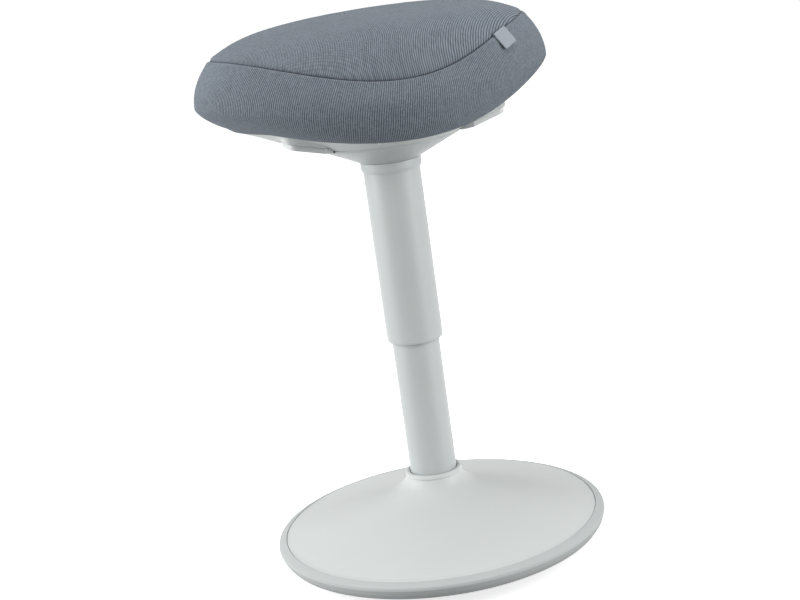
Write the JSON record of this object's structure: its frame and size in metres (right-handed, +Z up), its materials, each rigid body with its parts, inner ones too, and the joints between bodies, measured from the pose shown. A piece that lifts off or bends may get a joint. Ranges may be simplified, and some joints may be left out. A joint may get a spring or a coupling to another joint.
{
  "type": "wobble stool",
  "caption": "Height-adjustable wobble stool: padded saddle seat on a gas-sprung swivel column, over a weighted disc base with a convex rocking underside.",
  "frame": {"origin": "on the floor under the column's axis, at the centre of the base's flat resting patch", "axes": "+Z up along the column; +X to the right across the seat's width; -Y to the front, the seat's narrow drooping edge"},
  "size_m": [0.3712, 0.3564, 0.586],
  "materials": {
    "rubber_grey": "matt soft-touch",
    "pale_paint": "fine satin powder coat",
    "pale_plastic": "fine satin moulding",
    "shell_plastic": "fine satin moulding",
    "tray_plastic": "matt moulding",
    "cast_iron": "as cast, oiled",
    "zinc_steel": "zinc plated",
    "bright_steel": "hard chromed rod",
    "black_steel": "black enamel",
    "black_rubber": "matt",
    "nylon": "natural nylon",
    "black_plastic": "matt",
    "plywood": "bare birch plywood",
    "foam": "moulded polyurethane foam",
    "seat_fabric": "fine ribbed woven upholstery",
    "label_fabric": "plain woven tab"
  },
  "bodies": {
    "base": {"rocker_tread": "rubber_grey", "base_tray": "tray_plastic", "ballast_plate": "cast_iron", "rim_ring": "rubber_grey", "base_cover": "pale_paint", "cover_screws": "zinc_steel", "stand_flange": "black_steel", "column_bolts": "zinc_steel", "stand_tube": "pale_paint", "stand_tube_bush": "nylon", "anchor_plate": "black_steel", "thrust_race_lower": "zinc_steel"},
    "piston": {"thrust_race_upper": "zinc_steel", "thrust_balls": "bright_steel", "ball_cage": "nylon", "retaining_clip": "zinc_steel", "piston_rod": "bright_steel", "piston_head": "zinc_steel", "rubber_bumper": "black_rubber"},
    "seat": {"gas_cylinder": "black_steel", "cylinder_end_seal": "black_rubber", "column_sleeve": "pale_paint", "sleeve_glide_ring": "nylon", "sleeve_collar": "pale_plastic", "hub_cover": "shell_plastic", "taper_socket": "black_steel", "mechanism_plate": "black_steel", "mechanism_bolts": "zinc_steel", "lever_pins": "zinc_steel", "seat_shell": "shell_plastic", "shell_screws": "zinc_steel", "seat_board": "plywood", "tee_nuts": "zinc_steel", "seat_foam": "foam", "cover_top_panel": "seat_fabric", "cover_side_band": "seat_fabric", "cover_staples": "zinc_steel", "side_label": "label_fabric"},
    "paddle_left": {"release_paddle_left": "pale_plastic"},
    "paddle_right": {"release_paddle_right": "pale_plastic"},
    "valve": {"valve_pin": "zinc_steel", "presser_cap": "black_plastic"}
  },
  "joints": [
    {"name": "seat_swivel", "type": "hinge", "parent": "base", "child": "piston", "pos_m": [0, 0, 0.17], "axis": [0, 0, 1], "continuous": true},
    {"name": "seat_height", "type": "slide", "parent": "piston", "child": "seat", "axis": [0, 0, 1], "range_m": [0, 0.16]},
    {"name": "paddle_left_lift", "type": "hinge", "parent": "seat", "child": "paddle_left", "pos_m": [-0.038, 0, 0.462], "axis": [0, 1, 0], "range_deg": [0, 3], "stiffness_Nm_per_rad": 4},
    {"name": "paddle_right_lift", "type": "hinge", "parent": "seat", "child": "paddle_right", "pos_m": [0.038, 0, 0.462], "axis": [0, -1, 0], "range_deg": [0, 3]},
    {"name": "valve_press", "type": "slide", "parent": "seat", "child": "valve", "axis": [0, 0, -1], "range_m": [0, 0.0017]}
  ],
  "couplings": [
    {"joint": "paddle_right_lift", "follows": "paddle_left_lift", "ratio": 1},
    {"joint": "valve_press", "follows": "paddle_left_lift", "m_per_rad": 0.032086}
  ]
}
